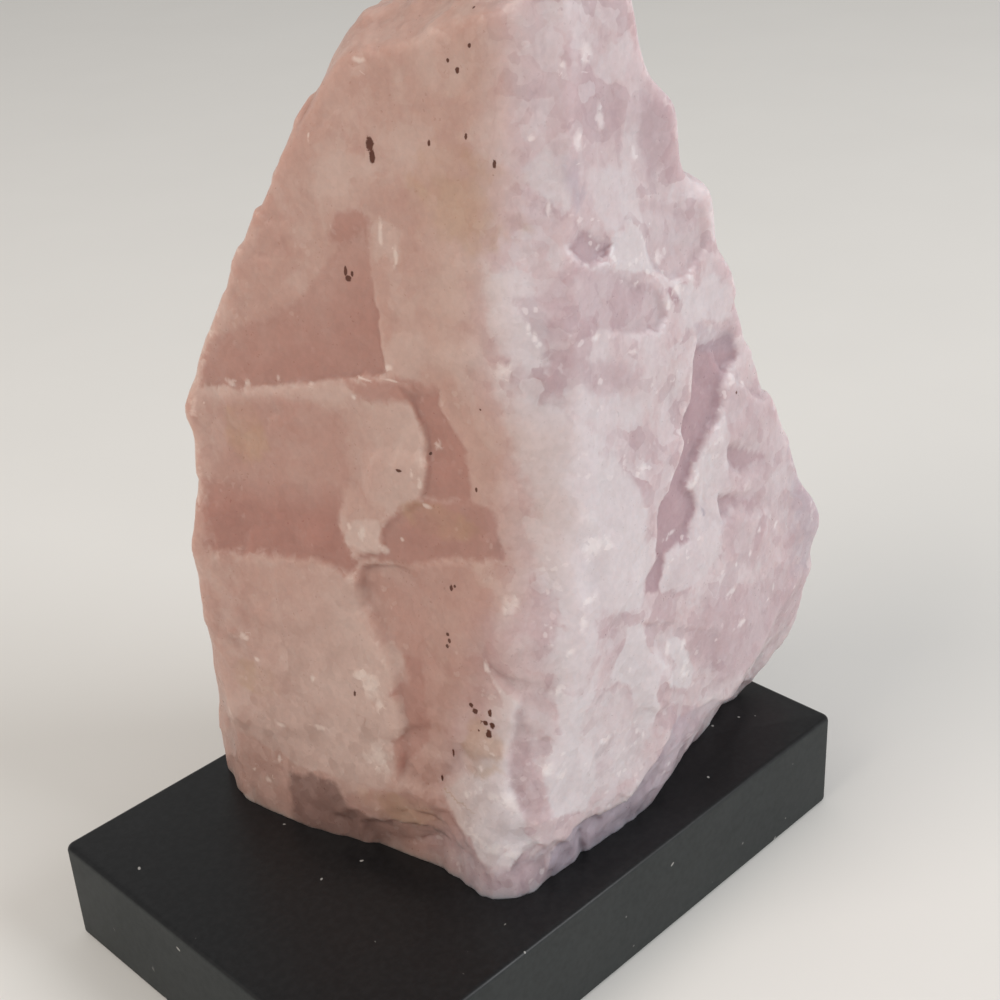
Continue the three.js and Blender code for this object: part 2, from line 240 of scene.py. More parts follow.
def chance(x, y, z, salt):
    """A repeatable random number between 0 and 1 for each lattice point."""
    along_x, along_y, along_z, along_salt = LATTICE_STEPS
    wave = np.sin(x * along_x + y * along_y + z * along_z + salt * along_salt) * LATTICE_GROWTH
    return wave - np.floor(wave)


def noise(points, salt):
    """Smooth noise between -1 and 1."""
    cell = np.floor(points)
    f = ease(points - cell)
    total = np.zeros(len(points))
    for corner in itertools.product((0, 1), repeat=3):
        near = np.abs(1 - np.array(corner) - f)
        at = cell + corner
        total += near[:, 0] * near[:, 1] * near[:, 2] * chance(at[:, 0], at[:, 1], at[:, 2], salt)
    return 2 * total - 1


def jagged(points, layer, salt):
    """The points moved about by smooth noise."""
    size, swing = layer
    q = points / size
    return points + swing / 2 * np.stack([noise(q, salt + k) for k in (1, 2, 3)], 1)


def chip_depth(points, layer, salt):
    """One layer of chips: flat steps, each at its own depth and tilt."""
    size, depth, run_out = layer
    q = points / size
    cell = np.floor(q)
    aparts = []
    steps = []
    for dx, dy, dz in itertools.product((-1, 0, 1), repeat=3):
        c = cell + (dx, dy, dz)
        at = (c[:, 0], c[:, 1], c[:, 2])
        off = q - c - np.stack([chance(*at, salt + k) for k in (0, 1, 2)], 1)
        tilt = np.stack([chance(*at, salt + k) for k in (4, 5, 6)], 1) - 0.5
        aparts.append(np.linalg.norm(off, axis=1))
        steps.append(0.5 * chance(*at, salt + 3) + (off * tilt).sum(1))
    aparts = np.array(aparts)
    steps = np.array(steps)
    share = np.exp((aparts.min(0) - aparts) * 3 * size / run_out)
    step = (share * steps).sum(0) / share.sum(0)
    return depth * (np.clip(step + 0.25, 0, 1) - 0.5)


def face_reach(directions):
    """How far the large faces lie from the heart in each direction."""
    reaches = []
    for bearing, lean, at in FACES:
        turn = math.radians(bearing)
        tilt = math.radians(lean)
        level = math.cos(tilt)
        normal = np.array([math.cos(turn) * level, math.sin(turn) * level, math.sin(tilt)])
        towards = directions @ normal
        distance = normal @ (np.array(at) - HEART)
        reach = distance / np.maximum(towards, LEAST_FACING)
        reaches.append(np.where(towards > LEAST_FACING, reach, np.inf))
    reaches = np.array(reaches)
    nearest = reaches.min(0)
    crowd = np.exp((nearest - reaches) / FACE_BLEND).sum(0)
    return nearest - FACE_BLEND * np.log(crowd)


def round_the_heart(points):
    """Bearing round the heart, as millimetres along a wall, and height."""
    bearing = np.arctan2(points[:, 1] - HEART[1], points[:, 0] - HEART[0])
    return np.stack([bearing * WALL_DISTANCE, points[:, 2]], 1)


def along_wall(place):
    """A bearing and height as millimetres along a wall, and height."""
    return np.array([math.radians(place[0]) * WALL_DISTANCE, place[1]])


def inset_from(outline, places):
    """How far inside a closed outline each place lies: negative outside it."""
    corners = np.array([along_wall(p) for p in outline])
    best = np.full(len(places), -np.inf)
    for turn in (0, 1):
        here = places + (turn * FULL_TURN, 0)
        nearest = np.full(len(here), np.inf)
        inside = np.zeros(len(here), bool)
        for a, b in zip(corners, np.roll(corners, -1, 0)):
            edge = b - a
            t = np.clip(((here - a) @ edge) / (edge @ edge), 0, 1)
            nearest = np.minimum(nearest, np.linalg.norm(here - a - t[:, None] * edge, axis=1))
            if a[1] != b[1]:
                crossing = a[0] + (here[:, 1] - a[1]) / (b[1] - a[1]) * edge[0]
                spans = (a[1] > here[:, 1]) != (b[1] > here[:, 1])
                inside ^= spans & (here[:, 0] < crossing)
        best = np.maximum(best, np.where(inside, nearest, -nearest))
    return best


def left_over(full, gone, places):
    """One at and before the first place, falling to nothing at the second."""
    start = along_wall(full)
    fall = along_wall(gone) - start
    total = np.zeros(len(places))
    for turn in (0, 1):
        here = places + (turn * FULL_TURN, 0)
        close = np.linalg.norm(here - start, axis=1) < FADE_REACH
        total += np.where(close, 1 - np.clip((here - start) @ fall / (fall @ fall), 0, 1), 0)
    return total


def scar_depth(places):
    """How much all the flaked scars take off."""
    total = np.zeros(len(places))
    for depth, deepest, run_out, outline in SCARS:
        ramp = ease(0.5 + inset_from(outline, places) / (SCAR_RAMP + RAMP_PER_DEPTH * depth))
        total += depth * ramp * left_over(deepest, run_out, places)
    return total


def boss_height(points):
    """How much all the bosses add."""
    total = np.zeros(len(points))
    for at, height, width in BOSSES:
        total += height * ease(1 - np.linalg.norm(points - at, axis=1) / width)
    return total


def block_mesh():
    """Squares on the six sides of the block, as triangles, with shared corners merged."""
    counts = [round(length / SQUARE) for length in BLOCK]
    ticks = [np.linspace(-length / 2, length / 2, n + 1) for length, n in zip(BLOCK, counts)]
    points = []
    triangles = []
    start = 0
    for axis in range(3):
        u, v = (axis + 1) % 3, (axis + 2) % 3
        gu, gv = np.meshgrid(ticks[u], ticks[v], indexing="ij")
        for side in (-1, 1):
            p = np.empty(gu.shape + (3,))
            p[..., axis] = side * BLOCK[axis] / 2
            p[..., u] = gu
            p[..., v] = gv
            index = np.arange(gu.size).reshape(gu.shape) + start
            a, b, c, d = index[:-1, :-1], index[1:, :-1], index[1:, 1:], index[:-1, 1:]
            if side < 0:
                b, d = d, b
            i, j = np.indices(a.shape)
            other = ((i + j) % 2 == 1)[..., None]
            first = np.where(other, np.stack([a, b, d], -1), np.stack([a, b, c], -1))
            second = np.where(other, np.stack([b, c, d], -1), np.stack([a, c, d], -1))
            points.append(p.reshape(-1, 3))
            triangles += [first.reshape(-1, 3), second.reshape(-1, 3)]
            start += gu.size
    points = np.concatenate(points)
    triangles = np.concatenate(triangles)
    _, first, back = np.unique(
        np.round(points * 100).astype(int), axis=0, return_index=True, return_inverse=True
    )
    return points[first], back.reshape(-1)[triangles]


def mesh_object(name, points, triangles):
    """A smooth-shaded mesh of triangles, given in millimetres."""
    mesh = bpy.data.meshes.new(name)
    mesh.vertices.add(len(points))
    mesh.vertices.foreach_set("co", (points * MM).astype(np.float32).ravel())
    mesh.loops.add(triangles.size)
    mesh.loops.foreach_set("vertex_index", triangles.astype(np.int32).ravel())
    mesh.polygons.add(len(triangles))
    mesh.polygons.foreach_set("loop_start", np.arange(0, triangles.size, 3, dtype=np.int32))
    mesh.polygons.foreach_set("use_smooth", np.ones(len(triangles), bool))
    mesh.update(calc_edges=True)
    mesh.validate()
    obj = bpy.data.objects.new(name, mesh)
    bpy.context.scene.collection.objects.link(obj)
    return obj


def proudness(points, triangles, rounds):
    """How far each point stands out from its neighbours, in millimetres: negative in hollows."""
    ends = np.concatenate([triangles[:, [0, 1]], triangles[:, [1, 2]], triangles[:, [2, 0]]])
    count = np.bincount(ends[:, 0], minlength=len(points))[:, None]
    spread = points.copy()
    for _ in range(rounds):
        total = np.zeros_like(points)
        np.add.at(total, ends[:, 0], spread[ends[:, 1]])
        spread = total / count
    a, b, c = (points[triangles[:, k]] for k in range(3))
    face = np.cross(b - a, c - a)
    normal = np.zeros_like(points)
    for k in range(3):
        np.add.at(normal, triangles[:, k], face)
    normal /= np.linalg.norm(normal, axis=1, keepdims=True) + 1e-12
    return ((points - spread) * normal).sum(1)


def add_field(obj, name, values):
    """Store a number or a vector for each point, for the material to read."""
    kind = "FLOAT" if values.ndim == 1 else "FLOAT_VECTOR"
    layer = obj.data.attributes.new(name, kind, "POINT")
    layer.data.foreach_set("value" if values.ndim == 1 else "vector", values.astype(np.float32).ravel())


# Patches of the surface that differ in colour: strength, softness of the edge, outline, and for those
# that fade, where they are full and where they have gone.
MILKY_PATCHES = (
    (0.7, 2, ((193, 131), (198, 128), (201, 123), (201, 118), (199, 112), (193, 110), (191, 105),
     (186, 108), (176, 110), (166, 116), (168, 126), (180, 131)), (190, 118), (168, 118)),
    (1, 1, ((171, 97), (172, 100), (174, 103), (184, 105), (184, 100), (187, 98), (183, 97),
     (177, 97))),  # lump in the hollow
    (0.62, 1.5, ((140, 86), (159, 89), (167, 92), (175, 92), (176, 88), (177, 84), (184, 77),
     (191, 75), (192, 70), (188, 67), (192, 64), (193, 58), (188, 55), (190, 47), (184, 43),
     (174, 42), (164, 40), (140, 44)), (172, 68), (146, 76)),  # west plate
    (0.9, 1.2, ((218, 80), (221, 77), (226, 72), (225, 65), (223, 61), (222, 60), (220, 63), (222, 68),
     (222, 72), (220, 76))),  # crest of the prow
    (1, 1.5, ((205, 47), (211, 52), (219, 59), (223, 59), (222, 53), (225, 47), (226, 38), (222, 34),
     (214, 34), (212, 38), (208, 41))),  # foot of the prow
    (1, 1.5, ((212, 38), (220, 41), (229, 38), (224, 35), (215, 34))),
    (0.7, 1, ((303, 119), (305, 109), (305, 100), (306, 95), (301, 97), (301, 94), (302, 91),
     (298, 88), (300, 84), (292, 83), (285, 81), (272, 84), (272, 87), (275, 92), (286, 92),
     (292, 97), (292, 100), (287, 104), (294, 110), (301, 114))),  # beside the groove
    (1, 1.5, ((235, 75), (247, 71), (241, 65), (241, 60), (247, 54), (246, 43), (242, 39), (232, 44),
     (230, 57), (235, 63), (234, 72))),  # south foot
    (0.95, 1, ((258, 82), (263, 81), (266, 73), (273, 67), (270, 61), (272, 54), (271, 50), (266, 52),
     (258, 66), (252, 69), (252, 73), (256, 78))),  # south wedge
    (1, 1, ((274, 72), (282, 69), (283, 66), (288, 57), (287, 53), (281, 56), (274, 62), (280, 62),
     (276, 67))),
    (1, 1, ((264, 163), (275, 161), (278, 157), (282, 152), (273, 153), (263, 156), (259, 159),
     (262, 162))),  # beside the pit
    (0.9, 1, ((249, 160), (258, 158), (261, 156), (258, 156), (251, 158))),
    (0.75, 1.5, ((291, 137), (289, 142), (295, 145), (304, 146), (309, 142), (312, 134), (298, 138))),
    (0.8, 1, ((284, 149), (295, 146), (297, 144), (292, 143), (287, 144))),
    (0.7, 1.5, ((234, 178), (242, 181), (246, 177), (243, 171), (238, 174), (235, 176))),
    (0.9, 1.5, ((245, 176), (248, 176), (247, 171), (244, 169), (244, 173))),
    (0.5, 2.5, ((253, 177), (268, 175), (276, 170), (275, 162), (259, 165), (254, 171))),
    (0.6, 2.5, ((157, 172), (163, 177), (176, 178), (181, 175), (179, 173), (170, 172), (168, 169),
     (157, 167))),
    (0.5, 2, ((178, 165), (184, 166), (191, 164), (190, 159), (180, 158))),
    (0.5, 3, ((184, 140), (188, 145), (199, 144), (201, 138), (191, 135))),
    (0.9, 3, ((222, 160), (232, 160), (239, 150), (236, 140), (224, 143))),
    (0.6, 4, ((229, 143), (237, 137), (247, 136), (269, 128), (268, 123), (242, 130), (233, 134))),
    (0.9, 4, ((224, 141), (233, 137), (242, 134), (252, 124), (266, 112), (268, 93), (263, 82),
     (248, 90), (246, 84), (244, 72), (234, 74), (236, 90), (232, 103), (229, 120), (227, 132))),
    (0.6, 1.5, ((317, 95), (327, 90), (331, 83), (327, 84), (321, 90))),
    (0.5, 4, ((241, 72), (252, 70), (256, 66), (262, 54), (264, 42), (248, 39), (240, 60))),
    (0.6, 2.5, ((137, 125), (145, 129), (165, 131), (177, 131), (166, 127), (149, 125), (137, 121))),
    (0.7, 6, ((340, 70), (352, 96), (372, 88), (366, 52), (348, 46))),
    (0.7, 6, ((20, 60), (28, 118), (44, 122), (50, 84), (40, 52))),
    (0.7, 6, ((88, 128), (96, 158), (122, 150), (118, 124))),
    (0.8, 4, ((112, 60), (118, 84), (134, 80), (132, 52))),
    (0.8, 3, ((66, 60), (72, 80), (86, 74), (82, 52))),
)
ROSY_PATCHES = (
    (1, 1, OUTLINES["groove"]),
    (0.75, 1, OUTLINES["pit"]),
    (0.35, 1.2, OUTLINES["under the pit"]),
    (0.5, 1.5, ((261, 155), (273, 151), (281, 147), (283, 142), (278, 140), (263, 143), (259, 147))),
    (0.2, 1.5, OUTLINES["shoulder"]),
    (1, 1, ((282, 148), (287, 146), (290, 144), (287, 143))),
    (0.85, 1, OUTLINES["flank, upper"]),
    (0.75, 1, OUTLINES["flank, lower"]),
    (0.9, 1.5, OUTLINES["strip"]),
    (0.7, 2, ((170, 132), (191, 135), (205, 136), (205, 133), (193, 131), (176, 129))),
    (1, 2.2, OUTLINES["hollow, back"], (160, 101), (157, 116)),
    (0.8, 1.8, OUTLINES["hollow, front"]),
    (0.8, 1.5, OUTLINES["brow"], (176, 146), (158, 168)),
    (0.7, 2, ((136, 131), (141, 133), (139, 127), (136, 124))),
    (0.7, 2, ((161, 160), (166, 165), (173, 167), (178, 166), (177, 160), (167, 159))),
    (0.35, 3, OUTLINES["valley"]),
    (0.35, 4, ((138, 104), (138, 122), (150, 126), (168, 126), (172, 112), (160, 104))),
    (0.75, 2, ((191, 75), (192, 70), (188, 67), (192, 64), (193, 58), (188, 55), (190, 46), (201, 50),
     (206, 60), (204, 71), (201, 79), (196, 81))),
    (0.3, 2, ((174, 38), (182, 42), (204, 46), (210, 38), (203, 20), (170, 20))),
    (0.35, 2, ((226, 71), (228, 65), (229, 52), (232, 43), (227, 44), (223, 52), (222, 57),
     (224, 63))),  # beside the crest
    (0.15, 2.5, ((244, 185), (257, 189), (270, 187), (269, 180), (259, 180), (254, 176), (244, 175),
     (242, 181))),
    (0.5, 3, ((279, 185), (288, 181), (290, 175), (289, 172), (280, 171), (277, 178))),
    (0.35, 2, ((246, 141), (261, 138), (270, 133), (260, 132), (252, 133), (247, 137))),
    (0.5, 5, ((290, 77), (326, 66), (345, 40), (308, 50), (297, 50), (284, 66))),
    (0.25, 6, ((306, 120), (330, 118), (336, 80), (312, 74), (300, 84))),
    (0.8, 8, ((20, 150), (34, 176), (60, 168), (52, 134))),
    (0.8, 7, ((86, 86), (94, 116), (116, 108), (112, 80))),
    (0.7, 6, ((350, 108), (362, 136), (378, 128), (368, 106))),
)
# Painted shade: greyer, darker quartz under the ledges of the foot, along the foot by the slab and at
# the top of the groove.
SHADE_PATCHES = (
    (0.8, 2, ((158, 37), (166, 40), (171, 40), (175, 35), (189, 30), (204, 28), (204, 10), (160, 10),
     (160, 28)), (176, 30), (194, 34)),  # foot notch
    (0.2, 2.5, ((180, 30), (200, 29), (211, 29), (211, 8), (180, 8))),
    (0.9, 1.5, ((238, 36), (252, 34), (259, 34), (266, 38), (273, 40), (280, 46), (293, 46),
     (302, 44), (330, 30), (330, 8), (232, 8), (230, 30)), (262, 30), (320, 30)),
    (0.25, 1.5, ((208, 30), (215, 33), (224, 33), (231, 35), (236, 8), (206, 8))),
    (0.35, 1.5, ((294, 138), (311, 133), (313, 128), (296, 133))),
    (0.9, 1, ((293, 98), (295, 96), (296, 94), (294, 94))),
    (0.5, 3, ((246, 179), (250, 179), (251, 172), (248, 170), (246, 174))),
    (0.15, 6, ((138, 24), (136, 50), (144, 50), (158, 36), (156, 10))),
    (0.5, 5, ((328, 98), (336, 90), (336, 60), (328, 60), (326, 84))),
)

# No point counts as deeper in a patch than this, or further out, in units of its edge's softness.
DEEP_INSIDE = 3.0

# Dark specks and light flecks on the stone: bearing, height, width, length.
DARK_SPECKS = (
    (177, 179.5, 1.7, 3.2), (178.1, 177.3, 1.4, 3), (168.5, 154.7, 0.9, 2), (169.6, 153.4, 1.5, 1.3),
    (171, 154.5, 0.8, 1.2), (215.8, 194.1, 0.9, 1.1), (212.3, 195.6, 0.6, 0.8), (220.5, 198.2, 0.8, 0.8),
    (222.5, 204, 0.7, 1), (203.6, 180.8, 0.7, 1.2), (218.2, 182.9, 0.7, 1.2), (226.7, 179, 0.8, 1.7),
    (191.5, 116.7, 1.4, 0.7), (201.7, 121.5, 0.7, 0.7), (219.4, 132.7, 0.5, 0.5), (217.3, 116.6, 0.6, 1),
    (208.6, 94.4, 0.9, 1.4), (209.6, 95, 0.7, 0.7), (207, 84, 0.9, 0.8), (207.6, 82.8, 0.9, 1.1),
    (207, 81.4, 1, 0.9), (213.7, 70.2, 1.1, 1.1), (214.7, 69.1, 1.4, 1.4), (218.6, 69.6, 1, 1.7),
    (217.4, 66.8, 1.3, 1.3), (219, 66.6, 1.3, 1.5), (215.5, 64.5, 0.7, 0.6), (218.1, 64.3, 1.5, 2),
    (207.7, 55.9, 0.5, 2), (204.1, 48.8, 0.6, 1.6), (176.1, 63.6, 0.7, 1.6), (308.4, 118.3, 0.8, 0.9),
)
LIGHT_FLECKS = (
    (155, 179, 0.5, 3), (171, 194.5, 2.5, 1), (182.5, 163.5, 1, 4), (188.5, 159.5, 1, 4.5),
    (141, 126.5, 3, 1.5), (144, 127, 2, 2), (150, 130, 1, 1.5), (159.5, 130, 2, 1), (174, 129.5, 1.5, 1),
    (177, 133.5, 3.5, 0.5), (188, 134.5, 4, 0.5), (187, 137, 2, 1.5), (137.5, 120.5, 0.5, 0.5),
    (204.5, 123.5, 2, 2), (196, 116.5, 1, 1.5), (199, 115, 1, 2), (201, 110.5, 2.5, 1),
    (177.5, 101.5, 2, 3.5), (173, 101.5, 1, 1.5), (185, 98.5, 2, 2), (191.5, 101.5, 1, 1),
    (147.5, 69, 2, 1.5), (150.5, 64, 2, 1), (163.5, 64, 1.5, 1.5), (181.6, 66.5, 5.5, 5),
    (178.5, 68.5, 4, 3), (184.5, 63, 2.5, 3), (165.5, 52, 4.5, 1.5), (157, 50.5, 3, 1),
    (184, 50, 5.5, 6), (156, 40, 1, 2), (150.5, 34, 1, 1), (153.5, 33, 2, 1.5), (218.5, 79.5, 1, 3.5),
    (211.5, 48, 1.5, 1.5), (219, 50, 2.5, 2.5), (222.5, 48.5, 3.5, 5), (215.5, 55, 1, 1.5),
    (226, 140.5, 3, 3.5), (237.5, 183, 1.5, 1), (251, 181.5, 2.5, 3.5), (260.5, 185, 2, 5),
    (274.5, 176, 2, 2.5), (241, 171, 1, 3), (252, 145, 2, 1.5), (233, 148, 1, 2), (234.5, 146.5, 1, 2),
    (235.5, 145, 1, 1), (266, 138.5, 3, 1.5), (280, 162, 0.5, 0.5), (283.5, 144, 1, 2),
    (311.5, 119.5, 1.5, 1.5), (305, 63.5, 3.5, 2), (319, 64, 1, 2), (313.5, 83, 1.5, 1.5),
    (320.5, 79.5, 3, 1.5), (301.5, 73, 4, 2), (280.5, 95, 2.5, 1), (317, 62, 2.5, 1), (304, 79, 1, 1),
    (309.5, 79, 1.5, 1.5), (263, 51.5, 1, 1.5), (266, 48.5, 1, 2), (250, 55, 3.5, 2.5),
    (235.5, 59, 1.5, 1), (250.5, 40.5, 1.5, 1), (238.5, 84, 2, 2), (235, 75.5, 1.5, 2.5),
    (266.5, 114.5, 2.5, 3.5), (225, 94, 3, 4), (247.5, 103.5, 5.5, 4.5), (244, 93.5, 3.5, 1.5),
    (241.5, 89.5, 2, 4), (275, 69, 1.5, 2.5), (231.5, 56.5, 3.5, 3), (235, 53.5, 3, 2.5),
    (283.5, 59.5, 3, 4.5), (281.5, 67.5, 1.5, 3), (283.5, 155, 2.5, 2.5), (288, 146, 3.5, 3),
    (257, 162.5, 1.5, 1), (255.5, 196, 2.5, 3.5), (248, 195.5, 1.5, 1.5), (218.2, 37.6, 5, 3),
    (214, 38.2, 4, 2), (222.2, 36.5, 4.5, 2),
)
# Rusty stains, in the same way.
STAINS = (
    (144, 116, 12, 14), (150, 59, 14, 8), (205, 108, 20, 7), (190, 38, 22, 8), (216, 60, 10, 14),
    (216, 172, 26, 18),
)
# Each kind of spot is dealt into layers, so that those of one layer lie well apart.
SPOT_LAYERS = {"specks": 4, "flecks": 4, "stains": 1}
# How near a spot a point must be for its way to be kept: in millimetres, or in half sizes.
SPOT_REACH = 2.8
SPOT_REACH_IN_SIZES = 2.5
FAR_OFF = 9

# Where the warm colour of the west side gives way to the cool south side: height, bearing.
WARM_EDGE = ((25, 206), (50, 211), (62, 219), (90, 222), (103, 230), (128, 229), (142, 221), (165, 221),
             (180, 227), (205, 230))
WARM_FADE = 28
WARM_WANDER = ((20, 5), (8, 3))
# The warm colour starts here, past the north side.
WARM_FROM = 96
WARM_FROM_FADE = 30

# How rough the break is: the size of its rough places, the height below which it is rougher, and the
# least and greatest roughness.
ROUGH_PLACES = 20
ROUGH_BELOW = 70
ROUGH_BELOW_FADE = 40
ROUGH_LIMITS = (0.12, 1)


def patch_depth(patches, places):
    """How deep each point lies in the patches, in units of the edge's softness, and their strength."""
    depth = np.full(len(places), -DEEP_INSIDE)
    strength = np.zeros(len(places))
    for share, softness, outline, *fade in patches:
        here = inset_from(outline, places) / softness
        if fade:
            share = share * left_over(fade[0], fade[1], places)
        strength = np.where(here > depth, share, strength)
        depth = np.maximum(depth, here)
    return np.minimum(depth, DEEP_INSIDE), strength


def deal_out(spots, count):
    """Deal spots into layers, each one into the layer where it has the most room."""
    layers = [[] for _ in range(count)]
    for spot in spots:
        here = along_wall(spot[:2])
        room = [
            min((np.linalg.norm(here - along_wall(other[:2])) for other in layer), default=np.inf)
            for layer in layers
        ]
        layers[int(np.argmax(room))].append(spot)
    return layers


def way_from_spots(spots, points, places):
    """The way to each point from the nearest spot, in units of its half size, or far off outwards."""
    out = points - HEART
    way = FAR_OFF * out / np.linalg.norm(out, axis=1, keepdims=True)
    nearest = np.full(len(points), np.inf)
    for bearing, height, width, length in spots:
        off = along_wall((bearing, height)) - places
        closest = np.argmin(np.linalg.norm(off, axis=1))
        turn = math.radians(bearing)
        sideways = off[closest, 0] / WALL_DISTANCE * np.linalg.norm(out[closest, :2])
        middle = points[closest] + sideways * np.array([-math.sin(turn), math.cos(turn), 0])
        middle[2] += off[closest, 1]
        off = points - middle
        apart = np.linalg.norm(off, axis=1)
        off = off / (width / 2, width / 2, length / 2)
        sizes = np.linalg.norm(off, axis=1)
        near = ((apart < SPOT_REACH) | (sizes < SPOT_REACH_IN_SIZES)) & (sizes < nearest)
        way[near] = off[near]
        nearest[near] = sizes[near]
    return way


def warmth(points, places):
    """One towards the peach-coloured west side and the top, nothing on the cooler south and east."""
    bearing = np.degrees(places[:, 0] / WALL_DISTANCE) % 360
    wander = np.zeros(len(points))
    for (size, swing), salt in zip(WARM_WANDER, WARM_SALTS):
        wander += swing * noise(points / size, salt)
    heights, bearings = zip(*WARM_EDGE)
    edge = np.interp(places[:, 1], heights, bearings)
    before_edge = ease(0.5 + (edge + wander - bearing) / WARM_FADE)
    past_north = ease((bearing - WARM_FROM + wander) / WARM_FROM_FADE)
    return before_edge * past_north


def rough_share(points, warm):
    """How rough the break is: smooth in wide places, rougher on the cool side and at the foot."""
    foot = ease((ROUGH_BELOW - points[:, 2]) / ROUGH_BELOW_FADE)
    rough = 0.45 + 0.7 * noise(points / ROUGH_PLACES, ROUGH_SALT) + 0.3 * foot + 0.25 * (1 - warm)
    return np.clip(rough, *ROUGH_LIMITS)


def saw_flat(lump):
    """Cut the foot off level with the slab, and close the cut."""
    mesh = bmesh.new()
    mesh.from_mesh(lump.data)
    geometry = mesh.verts[:] + mesh.edges[:] + mesh.faces[:]
    bmesh.ops.bisect_plane(
        mesh,
        geom=geometry,
        dist=SAWN_NEAR * MM,
        plane_co=(0, 0, SAWN_Z * MM),
        plane_no=(0, 0, -1),
        clear_outer=True,
    )
    rim = [edge for edge in mesh.edges if edge.is_boundary]
    for edge in rim:
        edge.smooth = False
        for vert in edge.verts:
            vert.co.z = SAWN_Z * MM
    bmesh.ops.holes_fill(mesh, edges=rim)
    mesh.to_mesh(lump.data)
    mesh.free()


def make_lump():
    """The lump, with its fields of colour stored on its points."""
    spots, triangles = block_mesh()
    taper = 1 + (BLOCK_TOP_SCALE - 1) * (spots[:, 2:] / BLOCK[2] + 0.5)
    order = np.arange(len(spots), dtype=float)
    shake = np.stack([chance(order, 0, 0, salt) for salt in SHAKE_SALTS], 1) - 0.5
    shake[np.abs(spots) > np.array(BLOCK) / 2 - 1e-6] = 0
    directions = spots * np.concatenate([taper, taper, np.ones_like(taper)], 1)
    directions += SQUARE * SHAKE * shake
    directions /= np.linalg.norm(directions, axis=1, keepdims=True)

    reach = face_reach(directions)
    on_face = HEART + directions * reach[:, None]
    places = round_the_heart(jagged(on_face, FINE_JAG, FINE_JAG_SALT))
    warm = warmth(on_face, places)
    depth = scar_depth(places) - boss_height(on_face)
    wandered = jagged(on_face, JAG, JAG_SALT)
    frayed = jagged(wandered, FINE_JAG, FINE_JAG_SALT)
    for layer, salt in zip(COARSE_CHIPS, CHIP_SALTS):
        depth += chip_depth(wandered, layer, salt)
    for layer, salt in zip(FINE_CHIPS, FINE_CHIP_SALTS):
        depth += rough_share(on_face, warm) * chip_depth(frayed, layer, salt)
    near_foot = ease((FOOT_CHIPS_UP_TO - on_face[:, 2]) / FOOT_CHIPS_FADE)
    near_foot = near_foot * (1 - FOOT_CHIPS_LESS_WHERE_WARM * warm)
    corner_off = np.abs(np.degrees(places[:, 0] / WALL_DISTANCE) - CORNER_BEARING)
    at_corner = CORNER_SHARE * ease(1 - corner_off / CORNER_HALF_WIDTH)
    large_chips = np.maximum(near_foot, at_corner)
    depth += large_chips * chip_depth(wandered, FOOT_CHIPS, FOOT_CHIP_SALT)
    points = HEART + directions * (reach - depth)[:, None]

    lump = mesh_object("lump", points, triangles)
    plain_places = round_the_heart(on_face) % (FULL_TURN, np.inf)
    # The third kind of patch is painted shade.
    for name, patches in (("milk", MILKY_PATCHES), ("rose", ROSY_PATCHES), ("painted_shade", SHADE_PATCHES)):
        depth_in, strength = patch_depth(patches, places)
        add_field(lump, name, depth_in)
        add_field(lump, name + "_strength", strength)
    for name, spots in (("specks", DARK_SPECKS), ("flecks", LIGHT_FLECKS), ("stains", STAINS)):
        for i, layer in enumerate(deal_out(spots, SPOT_LAYERS[name])):
            add_field(lump, f"{name} {i}", way_from_spots(layer, points, plain_places))
    add_field(lump, "warm", warm)
    add_field(lump, "edge", proudness(points, triangles, EDGE_ROUNDS))
    saw_flat(lump)
    return lump


def rise_of(edge):
    """How much higher one end of an edge is than the other."""
    return abs(edge.verts[0].co.z - edge.verts[1].co.z)


def round_edges(mesh, edges, radius, segments):
    bmesh.ops.bevel(
        mesh, geom=edges, offset=radius * MM, segments=segments, profile=0.5, affect="EDGES"
    )


def make_slab():
    """The slab with softly rounded edges, as large as the solid."""
    low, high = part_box("slab")
    mesh = bmesh.new()
    bmesh.ops.create_cube(mesh, size=1)
    bmesh.ops.scale(mesh, vec=high - low, verts=mesh.verts)
    bmesh.ops.translate(mesh, vec=(high + low) / 2, verts=mesh.verts)
    upright = [edge for edge in mesh.edges if rise_of(edge) > MM]
    round_edges(mesh, upright, SLAB_CORNER, 6)
    level = [edge for edge in mesh.edges if edge.calc_face_angle(0) > 1 and rise_of(edge) < MM]
    round_edges(mesh, level, SLAB_ARRIS, 5)
    data = bpy.data.meshes.new("plinth")
    mesh.to_mesh(data)
    mesh.free()
    data.shade_smooth()
    data.set_sharp_from_angle(angle=math.radians(40))
    slab = bpy.data.objects.new("plinth", data)
    bpy.context.scene.collection.objects.link(slab)
    return slab


# ------------------------------------------------------------
# Materials
# ------------------------------------------------------------


